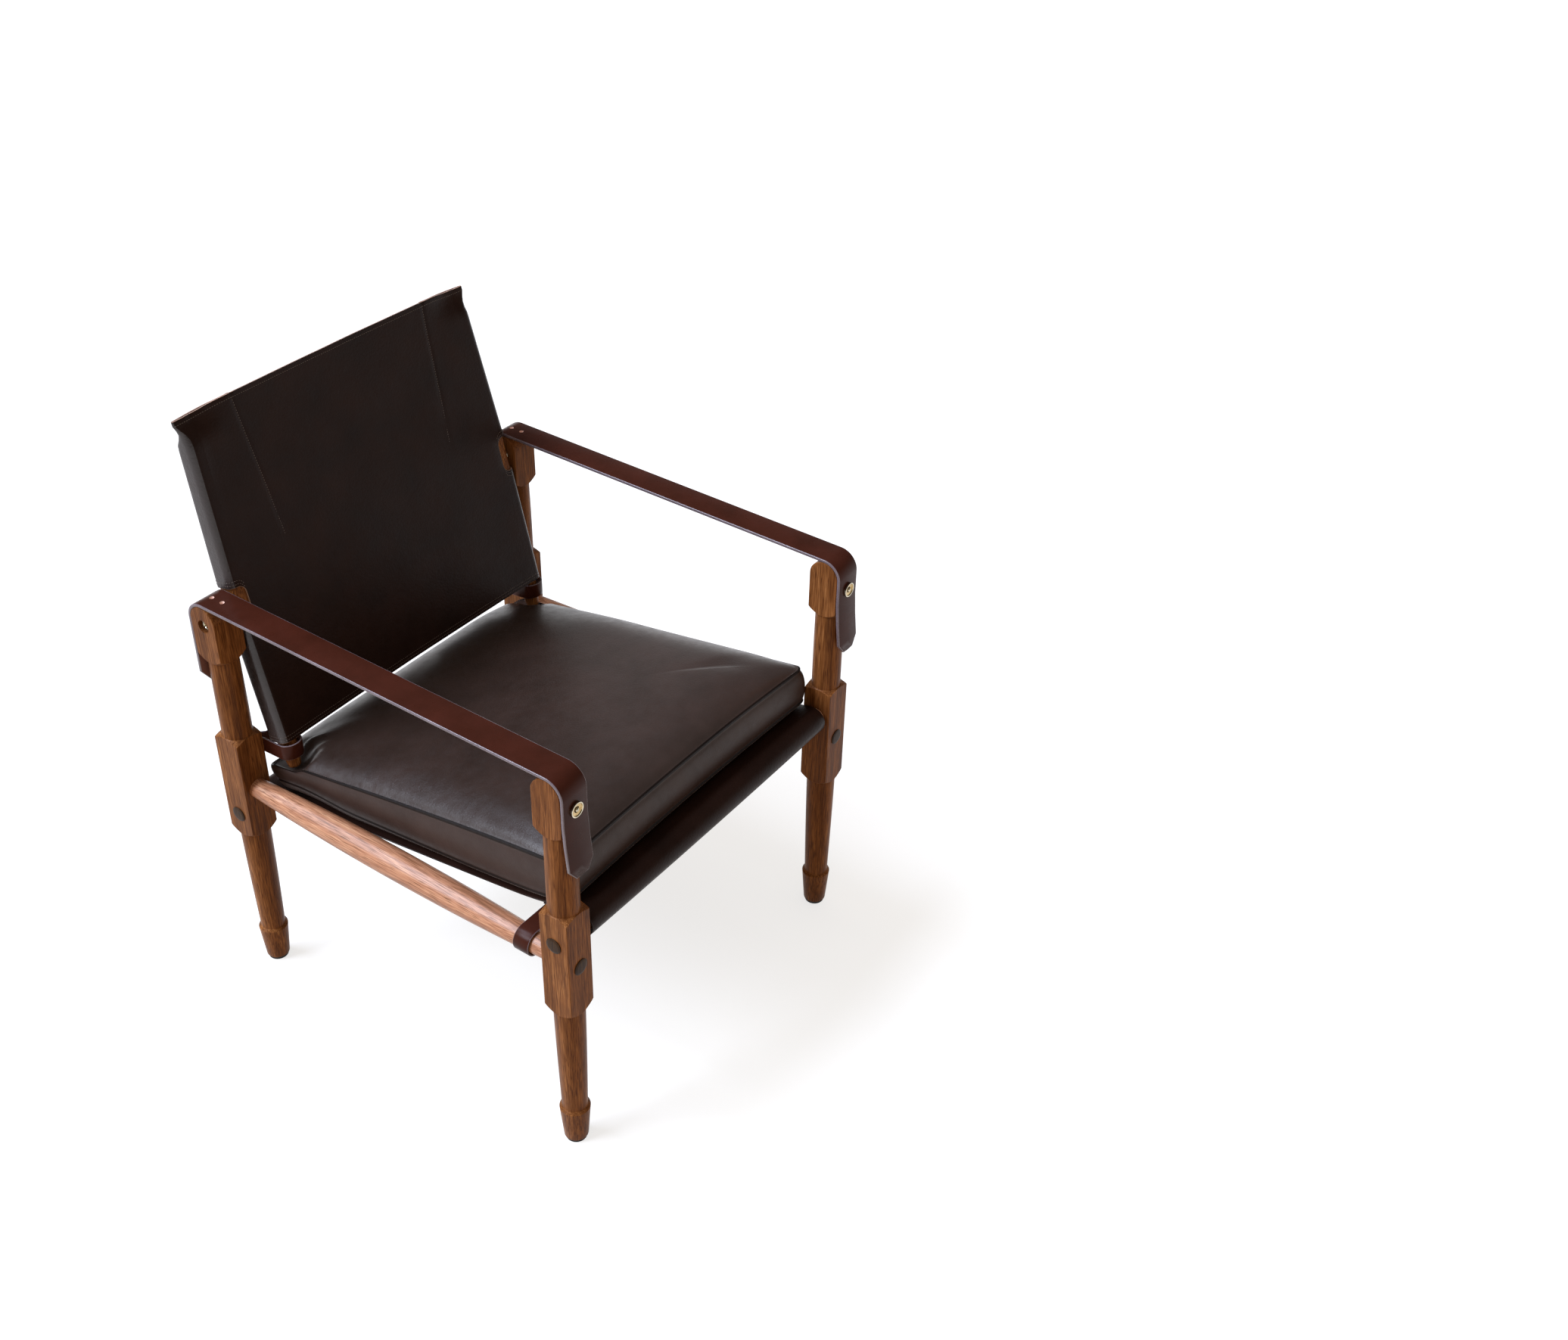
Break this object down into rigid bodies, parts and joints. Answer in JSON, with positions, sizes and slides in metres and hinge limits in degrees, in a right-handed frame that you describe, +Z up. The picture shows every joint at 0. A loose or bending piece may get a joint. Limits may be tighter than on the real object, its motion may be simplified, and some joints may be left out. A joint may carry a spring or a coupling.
{
  "type": "campaign chair",
  "caption": "Low armchair with turned wooden legs and loose tenoned rails, leather arm straps, leather seat and back slings, a pivoting back and a loose box cushion.",
  "frame": {"origin": "on the floor, under the middle of the chair's overall width and length", "axes": "+Z up, -Y the way the sitter faces, +X to the sitter's left"},
  "size_m": [0.6306, 0.6954, 0.8789],
  "materials": {
    "walnut": "satin",
    "rail_wood": "gloss",
    "cap_wood": "satin",
    "glide_rubber": "matte",
    "strap_leather": "satin",
    "sling_leather": "satin",
    "cushion_leather": "satin",
    "nickelled_steel": "polished",
    "brass": "polished"
  },
  "bodies": {
    "frame": {"leg_front_left": "walnut", "leg_front_right": "walnut", "leg_rear_left": "walnut", "leg_rear_right": "walnut", "foot_glide_front_left": "glide_rubber", "foot_glide_front_right": "glide_rubber", "foot_glide_rear_left": "glide_rubber", "foot_glide_rear_right": "glide_rubber", "rail_left": "rail_wood", "rail_right": "rail_wood", "rail_front": "rail_wood", "rail_rear": "rail_wood", "mortise_cap_cross_front_left": "cap_wood", "mortise_cap_cross_front_right": "cap_wood", "mortise_cap_cross_rear_left": "cap_wood", "mortise_cap_cross_rear_right": "cap_wood", "mortise_cap_side_front_left": "cap_wood", "mortise_cap_side_front_right": "cap_wood", "mortise_cap_side_rear_left": "cap_wood", "mortise_cap_side_rear_right": "cap_wood", "arm_strap_left": "strap_leather", "arm_strap_right": "strap_leather", "arm_stud_front_left": "nickelled_steel", "arm_stud_front_right": "nickelled_steel", "arm_stud_rear_left": "nickelled_steel", "arm_stud_rear_right": "nickelled_steel", "seat_sling": "sling_leather", "retaining_strap_left": "strap_leather", "retaining_strap_right": "strap_leather", "retaining_screw_left": "nickelled_steel", "retaining_screw_right": "nickelled_steel", "seat_belt": "strap_leather", "belt_stud_left": "nickelled_steel", "belt_stud_right": "nickelled_steel"},
    "back": {"back_post_left": "walnut", "back_post_right": "walnut", "post_insert_left": "brass", "post_insert_right": "brass", "pivot_washer_left": "nickelled_steel", "pivot_washer_right": "nickelled_steel", "pivot_bolt_left": "nickelled_steel", "pivot_bolt_right": "nickelled_steel", "back_sling": "sling_leather", "eyelet_upper_left": "brass", "eyelet_upper_right": "brass", "eyelet_lower_left": "brass", "eyelet_lower_right": "brass", "tension_strap_upper": "strap_leather", "tension_strap_lower": "strap_leather", "ball_stud_upper_engaged": "brass", "ball_stud_upper_free": "brass", "ball_stud_lower_engaged": "brass", "ball_stud_lower_free": "brass"},
    "cushion": {"seat_cushion": "cushion_leather"}
  },
  "joints": [
    {"name": "back_tilt", "type": "hinge", "parent": "frame", "child": "back", "pos_m": [0, 0.26798, 0.611], "axis": [1, 0, 0], "range_deg": [0, 7]},
    {"name": "cushion_slide", "type": "slide", "parent": "frame", "child": "cushion", "axis": [0, -0.9894, 0.145], "range_m": [0, 0.55]}
  ]
}
